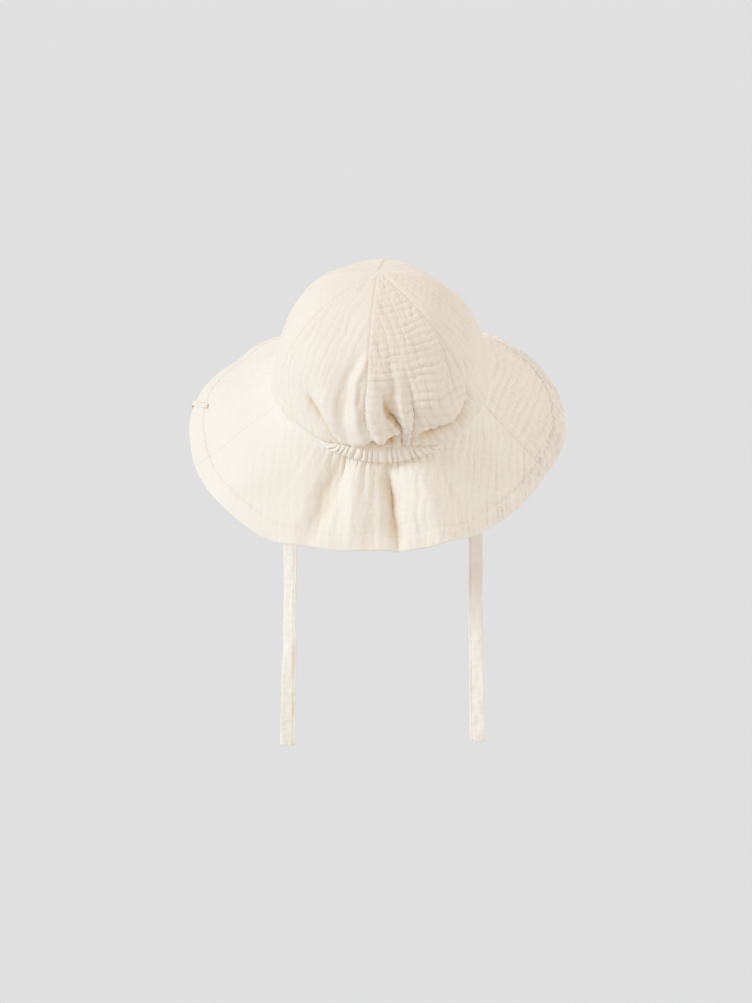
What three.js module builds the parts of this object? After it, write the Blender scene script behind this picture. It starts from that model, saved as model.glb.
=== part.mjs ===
// A baby sun hat of double muslin: a crown of six sewn panels, a soft brim in two pieces, a gathered
// elastic casing at the nape, two flat ties that hang below the brim, and a small blank edge tab.
//
// Units are millimetres, +Z is up. The origin is the centre of the head opening. The nape is at -Y,
// the face at +Y. The hat leans back a little, as it is worn, and the ties hang straight down.
// Azimuth runs round the head opening in degrees: 0 at the nape, 90 at +X, 180 over the face.

import * as THREE from 'three';
import { mergeVertices } from 'three/addons/utils/BufferGeometryUtils.js';

// Head opening and crown
const OPENING_WIDTH = 149;
const OPENING_DEPTH = 151;
const CROWN_HEIGHT = 88.5;
const CROWN_POWER = 1.97;
const CROWN_PANELS = 6;
const CROWN_LEAN = -3;
const CROWN_TWIST = -8;
const SEAM_CORNER = 0.018;
const PANEL_TIP_RADIUS = 1.4;
const NAPE_PULL = 3;
const NAPE_PUFF = 5.5;
const NAPE_PUFF_AZIMUTH = 80;

// Shares of the way down the crown: where the nape's puff begins and is full, where the cloth starts
// to be drawn flat to the seam, and where the seams stop leaning to the left
const PUFF_START = 0.45;
const PUFF_FULL = 0.92;
const PINCH_START = 0.93;
const TWIST_END_START = 0.75;

// Cloth and seams
const CLOTH = 1.6;
const SEAM_GAP = 0.3;

// Brim
const BRIM_WIDTH = 73;
const BRIM_FILLET = 6;
const BRIM_SEAM_AZIMUTH = 71;
const HEM_WIDTH = 12;
const HEM_THICKNESS = 2.4;
const HEM_STEP = 1.5;

// Share of the brim's width over which its flutes rise from the seam
const FLUTE_START = 0.25;

// Elastic casing at the nape
const CASING_HEIGHT = 13.5;
const CASING_ABOVE = 0.45;
const CASING_HALF_ANGLE = 36;
const CASING_COVER = 0.78;
const CASING_BULGE = 2.2;
const CASING_PLEATS = 21;
const PLEAT_DEPTH = 0.9;

// Ties
const TIE_WIDTH = 11;
const TIE_THICKNESS = 2;
const TIE_TOP = 3;
const TIE_AZIMUTH_RIGHT = 70;
const TIE_AZIMUTH_LEFT = 66.5;
const TIE_STEPS = 20;

// Blank tab folded over the brim's edge
const TAB_LENGTH = 15;
const TAB_UNDER = 9;
const TAB_WIDTH = 6;
const TAB_THICKNESS = 0.6;
const TAB_AZIMUTH = -96;

// The hat leans back by this angle when it is worn
const HAT_TILT = 18;

// Numbers of rows and columns of the faceted cloth
const BACK_PANEL_COLUMNS = 18;
const OTHER_PANEL_COLUMNS = 9;
const BRIM_BACK_COLUMNS = 54;
const BRIM_FRONT_COLUMNS = 44;
const COLUMNS_PER_PLEAT = 4;
const TAB_COLUMNS = 2;

// Rows of the crown, as shares of the way from the apex down to the casing
const CROWN_ROWS = [0.1, 0.2, 0.3, 0.4, 0.5, 0.58, 0.65, 0.72, 0.78, 0.84, 0.89, 0.93, 0.965, 1];

// Rows of the brim between its bend and its hem, and rows of the casing from its lower to its upper edge
const BRIM_MIDDLE_ROWS = [0.25, 0.5, 0.75];
const CASING_ROWS = [1, 0.72, 0.5, 0.28, 0];

// Rows of the edge tab: shares of its length on the hem's upper side, turns in degrees round the
// brim's edge, and shares of its length on the under side
const TAB_UPPER_ROWS = [1, 0.66, 0.33, 0];
const TAB_TURNS = [45, 90, 135];
const TAB_UNDER_ROWS = [0, 0.5, 1];

// Brim slope below the hat's own horizontal, round the opening, and its width there as a share
const BRIM_SHAPE = [
  { azimuth: -180, slope: 40, width: 1 },
  { azimuth: -135, slope: 38, width: 1.01 },
  { azimuth: -90, slope: 31, width: 1.03 },
  { azimuth: -62, slope: 35, width: 1.08 },
  { azimuth: -38, slope: 33, width: 1.07 },
  { azimuth: -18, slope: 27, width: 0.94 },
  { azimuth: 0, slope: 30, width: 0.87 },
  { azimuth: 20, slope: 34, width: 0.88 },
  { azimuth: 42, slope: 48, width: 0.95 },
  { azimuth: 66, slope: 47, width: 0.97 },
  { azimuth: 90, slope: 36, width: 1 },
  { azimuth: 125, slope: 35, width: 1.04 },
];

// How far the sewn line between crown and brim rides up, as a share of the crown's height
const SEAM_LIFTS = [
  { azimuth: -180, lift: 0 },
  { azimuth: -95, lift: 0.01 },
  { azimuth: -56, lift: 0.035 },
  { azimuth: -28, lift: -0.04 },
  { azimuth: 28, lift: -0.045 },
  { azimuth: 62, lift: -0.005 },
  { azimuth: 95, lift: 0 },
];

// Folds of the crown above the casing. Each runs through three points, azimuth and share of the way
// down. Height is out of the cloth, and minus into it, width is the fold's half width, both as shares
// of the crown's height.
const CROWN_FOLDS = [
  { name: 'left slant valley', path: [[-50, 0.77], [-36, 0.85], [-21, 0.98]], height: -0.036, width: 0.05 },
  { name: 'left puff', path: [[-40, 0.62], [-33, 0.76], [-27, 0.86]], height: 0.03, width: 0.13 },
  { name: 'left long valley', path: [[-14, 0.45], [-20, 0.68], [-18, 0.97]], height: -0.036, width: 0.055 },
  { name: 'leaf ridge', path: [[-11, 0.5], [-14, 0.7], [-10, 0.95]], height: 0.03, width: 0.04 },
  { name: 'centre seam valley', path: [[-9, 0.66], [-8, 0.82], [-5, 0.97]], height: -0.036, width: 0.035 },
  { name: 'hanging lobe', path: [[-3, 0.72], [-3, 0.84], [-1, 0.955]], height: 0.05, width: 0.075 },
  { name: 'deep valley', path: [[6, 0.52], [4, 0.76], [10, 0.97]], height: -0.062, width: 0.042 },
  { name: 'thin ridge', path: [[11, 0.55], [11, 0.72], [12, 0.93]], height: 0.024, width: 0.035 },
  { name: 'right short valley', path: [[18, 0.62], [17, 0.75], [15, 0.97]], height: -0.03, width: 0.038 },
  { name: 'right puff', path: [[27, 0.66], [31, 0.77], [34, 0.83]], height: 0.045, width: 0.15 },
  { name: 'right slant groove', path: [[20, 0.94], [33, 0.91], [50, 0.86]], height: -0.055, width: 0.045 },
];

// Flutes of the brim below the casing, in the same form: share of the brim's width from the seam, and
// heights and widths as shares of the brim's width
const BRIM_FLUTES = [
  { name: 'left broad valley', path: [[-27, 0.12], [-23, 0.6], [-20, 1]], height: -0.06, width: 0.14 },
  { name: 'left ridge', path: [[-12, 0.1], [-9, 0.5], [-7, 1]], height: 0.055, width: 0.1 },
  { name: 'centre valley', path: [[0, 0.1], [2, 0.5], [3, 1]], height: -0.1, width: 0.075 },
  { name: 'right ridge', path: [[17, 0.12], [18, 0.55], [20, 1]], height: 0.085, width: 0.16 },
  { name: 'right side wave', path: [[62, 0.5], [60, 0.8], [58, 1]], height: -0.02, width: 0.25 },
  { name: 'left side wave', path: [[-58, 0.5], [-60, 0.8], [-62, 1]], height: 0.025, width: 0.3 },
];

// How much of its full height a fold has at its first, middle and last point
const CROWN_FOLD_FADE = [0.15, 1, 1];
const BRIM_FLUTE_FADE = [0.5, 1, 0.4];

// Middle line of the right tie below its sewn end: how far it drifts outward, and how deep it hangs.
// These are chosen points, one every 20 mm or so.
const TIE_ROUTE = [
  { out: 0, down: 0 },
  { out: 0, down: 8 },
  { out: 0.4, down: 22 },
  { out: 1.2, down: 40 },
  { out: 2.0, down: 60 },
  { out: 2.6, down: 80 },
  { out: 3.0, down: 100 },
  { out: 3.3, down: 120 },
  { out: 3.6, down: 140 },
  { out: 4.0, down: 160 },
  { out: 4.5, down: 180 },
  { out: 5.1, down: 200 },
  { out: 5.8, down: 220 },
  { out: 6.4, down: 240 },
  { out: 7.0, down: 257 },
  { out: 7.6, down: 274 },
];

const FULL_TURN = 360;
const DEG = 2 * Math.PI / FULL_TURN;
const MERGE_DISTANCE = 1e-4;
const CLOTH_ROUGHNESS = 0.92;
const COLOURS = { cloth: 0xf1e6d6, shade: 0xe9dccb, tie: 0xebdccb, tab: 0xf4efe6 };

function clamp01(value) {
  return Math.min(1, Math.max(0, value));
}

function smoothStep(low, high, value) {
  const share = clamp01((value - low) / (high - low));
  return share * share * (3 - 2 * share);
}

function wrapDegrees(angle) {
  return angle - FULL_TURN * Math.round(angle / FULL_TURN);
}

// A smooth value round the opening from a table with one row for each azimuth
function roundTable(rows, column, azimuth) {
  const angle = wrapDegrees(azimuth);
  const count = rows.length;
  let index = 0;
  while (index < count - 1 && rows[index + 1].azimuth <= angle) {
    index += 1;
  }
  const row = rows[index];
  const next = rows[(index + 1) % count];
  const span = index === count - 1 ? next.azimuth + FULL_TURN - row.azimuth : next.azimuth - row.azimuth;
  const share = smoothStep(0, 1, (angle - row.azimuth) / span);
  return row[column] * (1 - share) + next[column] * share;
}

// Distance from a point of the cloth to a fold's path in millimetres, and the fold's strength there.
// around and along turn degrees and shares of the cloth's length into millimetres.
function foldReach(path, fade, azimuth, share, around, along) {
  let best = { distance: Infinity, strength: 0 };
  for (let index = 0; index < path.length - 1; index += 1) {
    const [startAzimuth, startShare] = path[index];
    const [endAzimuth, endShare] = path[index + 1];
    const runX = (endAzimuth - startAzimuth) * around;
    const runY = (endShare - startShare) * along;
    const pointX = wrapDegrees(azimuth - startAzimuth) * around;
    const pointY = (share - startShare) * along;
    const place = clamp01((pointX * runX + pointY * runY) / (runX * runX + runY * runY));
    const distance = Math.hypot(pointX - place * runX, pointY - place * runY);
    if (distance < best.distance) {
      const strength = fade[index] * (1 - place) + fade[index + 1] * place;
      best = { distance, strength };
    }
  }
  return best;
}

function foldHeight(folds, fade, size, azimuth, share, around, along) {
  let height = 0;
  for (const fold of folds) {
    const { distance, strength } = foldReach(fold.path, fade, azimuth, share, around, along);
    const spread = distance / (fold.width * size);
    height += fold.height * size * strength * Math.exp(-spread * spread);
  }
  return height;
}

// 1 at the nape, falling to 0 at the given azimuth on either side
function napeShare(azimuth, reach) {
  const share = clamp01(Math.abs(wrapDegrees(azimuth)) / reach);
  return Math.cos(share * Math.PI / 2) ** 2;
}

function outward(azimuth) {
  return new THREE.Vector3(Math.sin(azimuth * DEG), -Math.cos(azimuth * DEG), 0);
}

function openingRadius(azimuth) {
  const halfWidth = OPENING_WIDTH / 2;
  const halfDepth = OPENING_DEPTH / 2;
  const ellipse = halfWidth * halfDepth
    / Math.hypot(halfDepth * Math.sin(azimuth * DEG), halfWidth * Math.cos(azimuth * DEG));
  return ellipse - NAPE_PULL * napeShare(azimuth, 2 * CASING_HALF_ANGLE);
}

// Height of the crown's lower edge and of the brim's upper edge, which open like an eye for the casing
function casingEye(azimuth) {
  const share = Math.abs(wrapDegrees(azimuth)) / CASING_HALF_ANGLE;
  return share < 1 ? Math.cos(share * Math.PI / 2) : 0;
}

function seamHeight(azimuth) {
  return CROWN_HEIGHT * roundTable(SEAM_LIFTS, 'lift', azimuth);
}

function crownEdgeHeight(azimuth) {
  return seamHeight(azimuth) + SEAM_GAP / 2 + CASING_ABOVE * CASING_HEIGHT * casingEye(azimuth);
}

function brimEdgeHeight(azimuth) {
  return seamHeight(azimuth) - SEAM_GAP / 2 - (1 - CASING_ABOVE) * CASING_HEIGHT * casingEye(azimuth);
}

// Middle of the crown's cloth. share is 0 at the apex and 1 at the lower edge.
function crownPoint(azimuth, share) {
  const angle = share * Math.PI / 2;
  const ring = Math.sin(angle) ** (2 / CROWN_POWER);
  const rise = Math.max(0, Math.cos(angle)) ** (2 / CROWN_POWER);
  const base = openingRadius(azimuth);
  const edge = crownEdgeHeight(azimuth);
  const seamAngle = (azimuth - crownTwist(share)) * CROWN_PANELS * DEG;
  const corner = SEAM_CORNER * Math.cos(seamAngle) * Math.sin(Math.PI * share);
  const radius = base * ring * (1 + corner);
  const point = outward(azimuth).multiplyScalar(radius);
  point.z = edge + (CROWN_HEIGHT - edge) * rise;
  point.x += CROWN_LEAN * rise;
  const normal = outward(azimuth).multiplyScalar(ring / base);
  normal.z = rise / CROWN_HEIGHT;
  normal.normalize();
  const pinch = 1 - smoothStep(PINCH_START, 1, share);
  const puff = NAPE_PUFF * napeShare(azimuth, NAPE_PUFF_AZIMUTH) * smoothStep(PUFF_START, PUFF_FULL, share);
  const folds = foldHeight(
    CROWN_FOLDS, CROWN_FOLD_FADE, CROWN_HEIGHT, azimuth, share, radius * DEG, crownArc(),
  );
  return point.addScaledVector(normal, pinch * (puff + folds));
}

function crownArc() {
  return Math.PI / 2 * Math.hypot(OPENING_WIDTH / 2, CROWN_HEIGHT) / Math.SQRT2;
}

// The crown's seams stand a little to the left above the nape's gathers
function crownTwist(share) {
  return CROWN_TWIST * (1 - smoothStep(TWIST_END_START, 1, share));
}

// Middle of the brim's cloth. share is 0 at the crown's seam and 1 at the brim's edge.
function brimPoint(azimuth, share) {
  const slope = roundTable(BRIM_SHAPE, 'slope', azimuth) * DEG;
  const start = openingRadius(azimuth);
  const along = share * BRIM_WIDTH * roundTable(BRIM_SHAPE, 'width', azimuth);
  // the cloth leaves the seam straight down and bends out to its slope in a short arc
  const bend = Math.PI / 2 - slope;
  const bendRadius = BRIM_FILLET / bend;
  const turned = Math.min(along / bendRadius, bend);
  const straight = along - turned * bendRadius;
  const out = bendRadius * (1 - Math.cos(turned)) + straight * Math.cos(slope);
  const down = bendRadius * Math.sin(turned) + straight * Math.sin(slope);
  const around = (start + out) * DEG;
  const fluteShare = smoothStep(0, FLUTE_START, share);
  const flutes = fluteShare * foldHeight(
    BRIM_FLUTES, BRIM_FLUTE_FADE, BRIM_WIDTH, azimuth, share, around, BRIM_WIDTH,
  );
  const direction = outward(azimuth);
  const point = direction.clone().multiplyScalar(start + out + flutes * Math.sin(slope));
  point.z = brimEdgeHeight(azimuth) - down + flutes * Math.cos(slope);
  return point;
}

// Unit normal of a surface on its outer or upper side, from points close by
function surfaceNormal(surface, azimuth, share) {
  const azimuthStep = 0.2;
  const shareStep = 0.004;
  const ahead = Math.min(1, share + shareStep);
  const behind = Math.max(shareStep / 2, share - shareStep);
  const acrossRun = surface(azimuth + azimuthStep, share).sub(surface(azimuth - azimuthStep, share));
  const alongRun = surface(azimuth, ahead).sub(surface(azimuth, behind));
  return alongRun.cross(acrossRun).normalize();
}

// Cloth with thickness over a grid of azimuths and shares. azimuthOf gives a column's azimuth in a row.
function clothPanel(surface, columns, rows, azimuthOf, thicknessOf) {
  const sides = [[], []];
  for (const share of rows) {
    const outerRow = [];
    const innerRow = [];
    for (let column = 0; column <= columns; column += 1) {
      const azimuth = azimuthOf(column / columns, share);
      const middle = surface(azimuth, share);
      const normal = surfaceNormal(surface, azimuth, share);
      const half = thicknessOf(share) / 2;
      outerRow.push(middle.clone().addScaledVector(normal, half));
      innerRow.push(middle.clone().addScaledVector(normal, -half));
    }
    sides[0].push(outerRow);
    sides[1].push(innerRow);
  }
  return closedSheet(sides[0], sides[1]);
}

// Closed body between two grids of points with equal rows and columns
function closedSheet(outer, inner) {
  const triangles = [];
  const quad = (a, b, c, d) => triangles.push(a, b, c, a, c, d);
  const lastRow = outer.length - 1;
  const lastColumn = outer[0].length - 1;
  for (let row = 0; row < lastRow; row += 1) {
    for (let column = 0; column < lastColumn; column += 1) {
      quad(outer[row][column], outer[row + 1][column], outer[row + 1][column + 1], outer[row][column + 1]);
      quad(inner[row][column], inner[row][column + 1], inner[row + 1][column + 1], inner[row + 1][column]);
    }
    quad(outer[row][0], inner[row][0], inner[row + 1][0], outer[row + 1][0]);
    quad(outer[row][lastColumn], outer[row + 1][lastColumn], inner[row + 1][lastColumn], inner[row][lastColumn]);
  }
  for (let column = 0; column < lastColumn; column += 1) {
    quad(outer[0][column], outer[0][column + 1], inner[0][column + 1], inner[0][column]);
    quad(outer[lastRow][column], inner[lastRow][column], inner[lastRow][column + 1], outer[lastRow][column + 1]);
  }
  return geometryFrom(triangles);
}

function geometryFrom(points) {
  const geometry = new THREE.BufferGeometry().setFromPoints(points);
  const merged = mergeVertices(geometry, MERGE_DISTANCE);
  merged.computeVertexNormals();
  return merged;
}

function fabric(name, colour) {
  return new THREE.MeshStandardMaterial({ name, color: colour, roughness: CLOTH_ROUGHNESS, metalness: 0 });
}

function mesh(name, geometry, colour) {
  const object = new THREE.Mesh(geometry, fabric(name, colour));
  object.name = name;
  return object;
}

// Half of the seam's gap as an angle at a given distance from the middle
function gapAngle(radius) {
  return Math.asin(SEAM_GAP / 2 / radius) / DEG;
}

function crownPanel(name, index) {
  const width = FULL_TURN / CROWN_PANELS;
  const tipShare = PANEL_TIP_RADIUS / crownArc();
  const azimuthOf = (place, share) => {
    const ring = Math.sin(share * Math.PI / 2) * OPENING_WIDTH / 2;
    const inset = gapAngle(ring);
    const start = index * width + crownTwist(share) + inset;
    return start + place * (width - 2 * inset);
  };
  const isBack = index === 0 || index === CROWN_PANELS - 1;
  const columns = isBack ? BACK_PANEL_COLUMNS : OTHER_PANEL_COLUMNS;
  const rows = [tipShare, ...CROWN_ROWS];
  return mesh(name, clothPanel(crownPoint, columns, rows, azimuthOf, () => CLOTH), COLOURS.cloth);
}

// Brim rows, as shares of its width, with a pair where the folded hem begins
function brimRows() {
  const hemStart = 1 - HEM_WIDTH / BRIM_WIDTH;
  const fillet = BRIM_FILLET / BRIM_WIDTH;
  const halfStep = HEM_STEP / 2 / BRIM_WIDTH;
  const between = BRIM_MIDDLE_ROWS.map((place) => fillet + place * (hemStart - fillet));
  return [0, fillet / 2, fillet, ...between, hemStart - halfStep, hemStart + halfStep, 1];
}

function brimThickness(share) {
  const hemStart = 1 - HEM_WIDTH / BRIM_WIDTH;
  return share > hemStart ? HEM_THICKNESS : CLOTH;
}

function brimPiece(name, firstAzimuth, lastAzimuth, columns) {
  const azimuthOf = (place, share) => {
    const inset = gapAngle(OPENING_WIDTH / 2 + share * BRIM_WIDTH / 2);
    return firstAzimuth + inset + place * (lastAzimuth - firstAzimuth - 2 * inset);
  };
  return mesh(name, clothPanel(brimPoint, columns, brimRows(), azimuthOf, brimThickness), COLOURS.cloth);
}

// The casing is a flat tube round the elastic, pleated across, pinched at both of its sewn edges
function napeCasing(name) {
  const columns = CASING_PLEATS * COLUMNS_PER_PLEAT;
  const reach = CASING_HALF_ANGLE * CASING_COVER;
  const outer = CASING_ROWS.map(() => []);
  const inner = CASING_ROWS.map(() => []);
  for (let column = 0; column <= columns; column += 1) {
    const place = column / columns;
    const azimuth = reach * (2 * place - 1);
    const pleat = PLEAT_DEPTH * Math.cos(2 * Math.PI * place * CASING_PLEATS);
    const top = crownEdgeHeight(azimuth) - SEAM_GAP;
    const bottom = brimEdgeHeight(azimuth) + SEAM_GAP;
    CASING_ROWS.forEach((high, index) => {
      const middle = 4 * high * (1 - high);
      const face = openingRadius(azimuth) + CLOTH / 2 + middle * (CASING_BULGE + pleat);
      const point = outward(azimuth).multiplyScalar(face);
      point.z = bottom + high * (top - bottom);
      outer[index].push(point);
      const back = outward(azimuth).multiplyScalar(openingRadius(azimuth) - CLOTH / 2 * (1 + middle));
      back.z = point.z;
      inner[index].push(back);
    });
  }
  return mesh(name, closedSheet(outer, inner), COLOURS.shade);
}

// Where a tie is sewn inside the seam, in the frame of the worn hat
function tieStart(side) {
  const azimuth = side > 0 ? TIE_AZIMUTH_RIGHT : TIE_AZIMUTH_LEFT;
  const inner = openingRadius(azimuth) - CLOTH / 2 - SEAM_GAP;
  const corner = outward(azimuth).multiplyScalar(inner);
  const start = new THREE.Vector3(corner.x - TIE_WIDTH / 2, corner.y + TIE_THICKNESS, TIE_TOP);
  start.x *= side;
  return start.applyAxisAngle(new THREE.Vector3(1, 0, 0), HAT_TILT * DEG);
}

function tie(name, side) {
  const start = tieStart(side);
  const points = TIE_ROUTE.map(({ out, down }) => new THREE.Vector3(
    start.x + side * out, start.y, start.z - down,
  ));
  const section = new THREE.Shape();
  const half = TIE_THICKNESS / 2;
  const round = half / 2;
  const edge = TIE_WIDTH / 2;
  const flat = edge - round;
  section.setFromPoints([
    new THREE.Vector2(half, flat),
    new THREE.Vector2(round, edge),
    new THREE.Vector2(-round, edge),
    new THREE.Vector2(-half, flat),
    new THREE.Vector2(-half, -flat),
    new THREE.Vector2(-round, -edge),
    new THREE.Vector2(round, -edge),
    new THREE.Vector2(half, -flat),
  ]);
  const path = new THREE.CatmullRomCurve3(points);
  const swept = new THREE.ExtrudeGeometry(section, { steps: TIE_STEPS, bevelEnabled: false, extrudePath: path });
  swept.deleteAttribute('normal');
  swept.deleteAttribute('uv');
  const geometry = mergeVertices(swept, MERGE_DISTANCE);
  geometry.computeVertexNormals();
  return mesh(name, geometry, COLOURS.tie);
}

// The tab lies on the hem's upper side, turns round the brim's edge and ends on the under side
function edgeTab(name) {
  const lift = HEM_THICKNESS / 2 + SEAM_GAP;
  const stations = [];
  for (const place of TAB_UPPER_ROWS) {
    stations.push({ share: 1 - place * TAB_LENGTH / BRIM_WIDTH, turn: 0 });
  }
  for (const turn of TAB_TURNS) {
    stations.push({ share: 1, turn });
  }
  for (const place of TAB_UNDER_ROWS) {
    stations.push({ share: 1 - place * TAB_UNDER / BRIM_WIDTH, turn: FULL_TURN / 2 });
  }
  const halfAngle = TAB_WIDTH / 2 / (OPENING_WIDTH / 2 + BRIM_WIDTH) / DEG;
  const outer = [];
  const inner = [];
  for (const { share, turn } of stations) {
    const outerRow = [];
    const innerRow = [];
    for (let column = 0; column <= TAB_COLUMNS; column += 1) {
      const azimuth = TAB_AZIMUTH + halfAngle * (2 * column / TAB_COLUMNS - 1);
      const middle = brimPoint(azimuth, share);
      const up = surfaceNormal(brimPoint, azimuth, share);
      const out = brimPoint(azimuth, 1).sub(brimPoint(azimuth, 1 - HEM_WIDTH / BRIM_WIDTH)).normalize();
      const away = up.multiplyScalar(Math.cos(turn * DEG)).addScaledVector(out, Math.sin(turn * DEG));
      outerRow.push(middle.clone().addScaledVector(away, lift + TAB_THICKNESS));
      innerRow.push(middle.clone().addScaledVector(away, lift));
    }
    outer.push(outerRow);
    inner.push(innerRow);
  }
  return mesh(name, closedSheet(outer, inner), COLOURS.tab);
}

function sunHat() {
  const hat = new THREE.Group();
  const worn = new THREE.Group();
  const panelNames = [
    'crown_back_right', 'crown_side_right', 'crown_front_right',
    'crown_front_left', 'crown_side_left', 'crown_back_left',
  ];
  panelNames.forEach((name, index) => worn.add(crownPanel(name, index)));
  const seam = BRIM_SEAM_AZIMUTH;
  worn.add(brimPiece('brim_back', -seam, seam, BRIM_BACK_COLUMNS));
  worn.add(brimPiece('brim_front', seam, FULL_TURN - seam, BRIM_FRONT_COLUMNS));
  worn.add(napeCasing('nape_casing'));
  worn.add(edgeTab('edge_tab'));
  worn.rotation.x = HAT_TILT * DEG;
  hat.add(worn);
  hat.add(tie('tie_right', 1));
  hat.add(tie('tie_left', -1));
  return hat;
}

export default sunHat();
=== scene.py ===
import math

import bpy
import numpy as np
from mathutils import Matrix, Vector


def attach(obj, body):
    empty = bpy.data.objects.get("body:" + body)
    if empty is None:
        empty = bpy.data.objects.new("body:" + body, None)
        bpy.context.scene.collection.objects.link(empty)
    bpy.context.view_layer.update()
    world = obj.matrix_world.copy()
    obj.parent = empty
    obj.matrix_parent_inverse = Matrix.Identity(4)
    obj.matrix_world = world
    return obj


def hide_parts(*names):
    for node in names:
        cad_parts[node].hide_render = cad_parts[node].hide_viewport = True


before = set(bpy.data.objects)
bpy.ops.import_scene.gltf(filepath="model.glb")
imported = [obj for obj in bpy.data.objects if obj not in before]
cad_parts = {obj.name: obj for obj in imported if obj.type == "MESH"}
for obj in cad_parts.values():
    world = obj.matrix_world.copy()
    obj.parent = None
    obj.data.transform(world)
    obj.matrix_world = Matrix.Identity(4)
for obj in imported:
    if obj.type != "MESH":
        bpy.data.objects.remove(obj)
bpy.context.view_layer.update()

MM = 0.001
DEG = math.pi / 180

# Sizes of the solids, which the cloth follows
OPENING_WIDTH = 149.0
OPENING_DEPTH = 151.0
CROWN_HEIGHT = 88.5
CROWN_POWER = 1.97
CROWN_PANELS = 6
CROWN_LEAN = -3.0
CROWN_TWIST = -8.0
NAPE_PULL = 3.0
NAPE_PUFF = 5.5
NAPE_PUFF_AZIMUTH = 80.0
SEAM_GAP = 0.3
BRIM_WIDTH = 73.0
BRIM_FILLET = 6.0
BRIM_SEAM_AZIMUTH = 71.0
HEM_WIDTH = 12.0
CASING_HEIGHT = 13.5
CASING_ABOVE = 0.45
CASING_HALF_ANGLE = 36.0
TIE_WIDTH = 11.0
TIE_AZIMUTH_RIGHT = 70.0
TIE_AZIMUTH_LEFT = 66.5
TIE_TOP = 3.0
HAT_TILT = 18.0

# Length of the crown's cloth from its apex to its lower edge, and the angle of one panel
CROWN_ARC = math.pi / 2 * math.hypot(OPENING_WIDTH / 2, CROWN_HEIGHT) / math.sqrt(2)
PANEL_ANGLE = 360 / CROWN_PANELS

# The crown's cloth: how sharp its seams stand out, how far its top is flattened and its seams' meeting
# point is moved forward, over which share of the way down each fades, and how far a bulge sags
SEAM_CORNER = 0.024
SEAM_ROUNDING = 0.006
TOP_FLATTENING = 5.5
FLATTENING_REACH = 0.32
TOP_SHIFT = 18.0
SHIFT_REACH = 0.5
CROWN_TIP = 0.12
SAG = 0.35

# Shares of the way down the crown where something begins and where it is complete
TWIST_END = (0.75, 1)
PUFF_GROWTH = (0.45, 0.92)
PINCH = (0.945, 1)
LOBE_END = (0.89, 0.916)
SAG_GROWTH = (0.72, 0.94)
SAG_END = (0.955, 1)
TIP_FADE = (0.01, 0.08)
NAPE_GROWTH = (0.4, 0.75)

# Columns: azimuth, slope below the hat's horizontal, width as a share of the brim's
BRIM_SHAPE = [
    (-180, 40, 1.00),
    (-135, 38, 1.01),
    (-90, 31, 1.03),
    (-62, 35, 1.08),
    (-38, 33, 1.07),
    (-18, 27, 0.94),
    (0, 30, 0.87),
    (20, 34, 0.88),
    (42, 48, 0.95),
    (66, 47, 0.97),
    (90, 36, 1.00),
    (125, 35, 1.04),
]
SLOPE, WIDTH = 1, 2

# Columns: azimuth, rise of the seam between crown and brim as a share of the crown's height
SEAM_LIFTS = [(-180, 0), (-95, 0.01), (-56, 0.035), (-28, -0.04), (28, -0.045), (62, -0.005), (95, 0)]
LIFT = 1

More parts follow.
